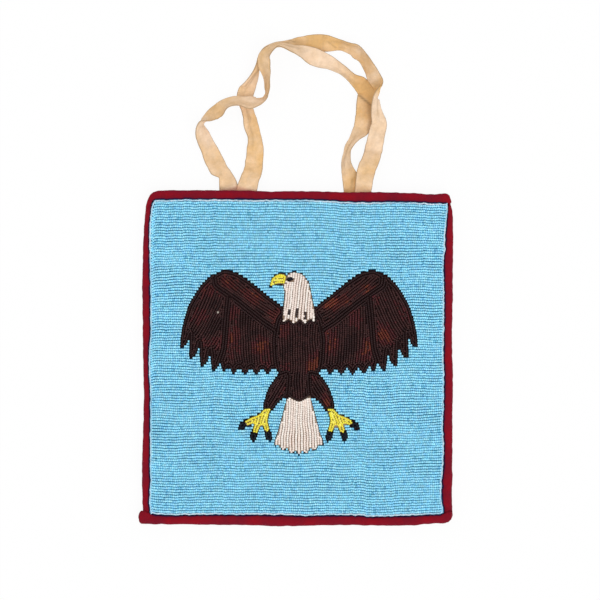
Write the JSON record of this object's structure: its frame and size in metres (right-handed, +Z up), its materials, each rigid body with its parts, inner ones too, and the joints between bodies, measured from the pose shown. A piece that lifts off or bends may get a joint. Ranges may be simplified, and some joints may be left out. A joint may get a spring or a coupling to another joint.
{
  "type": "beaded flat bag",
  "caption": "Flat rectangular bag with a face of lane-stitched glass seed beads and a beaded bird, a rolled wool binding and soft hide handles, lying on its back.",
  "frame": {"origin": "the middle of the bag's body, on the flat underside of its back, which is the surface that it lies on", "axes": "+X to the right across the beaded face, +Y towards the mouth and the handles, +Z up out of the beaded face"},
  "size_m": [0.2504, 0.3933, 0.0216],
  "materials": {
    "blue_beads": "opaque glossy seed beads, pale sky blue",
    "pale_beads": "opaque glossy seed beads, whitish blue",
    "brown_beads": "opaque glossy seed beads, very dark brown",
    "rust_beads": "opaque glossy seed beads, dark rust red",
    "black_beads": "opaque glossy seed beads, black",
    "white_beads": "opaque glossy seed beads, warm white",
    "yellow_beads": "opaque glossy seed beads, yellow",
    "canvas": "plain woven cotton canvas, hardly seen between the beads",
    "cotton_lining": "plain woven cotton",
    "back_hide": "soft smoke tanned hide, matt, lightly napped",
    "red_wool": "dense felted wool, dark red, with a short fuzzy nap",
    "strap_hide": "soft pale buckskin, matt, with a suede nap"
  },
  "bodies": {
    "root": {"back_panel": "back_hide", "back_lining": "cotton_lining", "front_lining": "cotton_lining", "front_canvas": "canvas", "ground_beads": "blue_beads", "edge_lane_beads": "pale_beads", "eye_beads": "black_beads", "beak_beads": "yellow_beads", "head_beads": "white_beads", "breast_beads": "brown_beads", "tail_beads": "white_beads", "wing_coverts_left": "rust_beads", "wing_coverts_right": "rust_beads", "wing_primaries_left": "brown_beads", "wing_primaries_right": "brown_beads", "wing_secondaries_left": "brown_beads", "wing_secondaries_right": "brown_beads", "thigh_left": "brown_beads", "thigh_right": "brown_beads", "foot_left": "yellow_beads", "foot_right": "yellow_beads", "talon_1_left": "black_beads", "talon_1_right": "black_beads", "talon_2_left": "black_beads", "talon_2_right": "black_beads", "talon_3_left": "black_beads", "talon_3_right": "black_beads", "binding_left": "red_wool", "binding_right": "red_wool", "binding_bottom": "red_wool", "binding_mouth_front": "red_wool", "binding_mouth_back": "red_wool", "strap_front": "strap_hide", "strap_back": "strap_hide"}
  },
  "joints": []
}
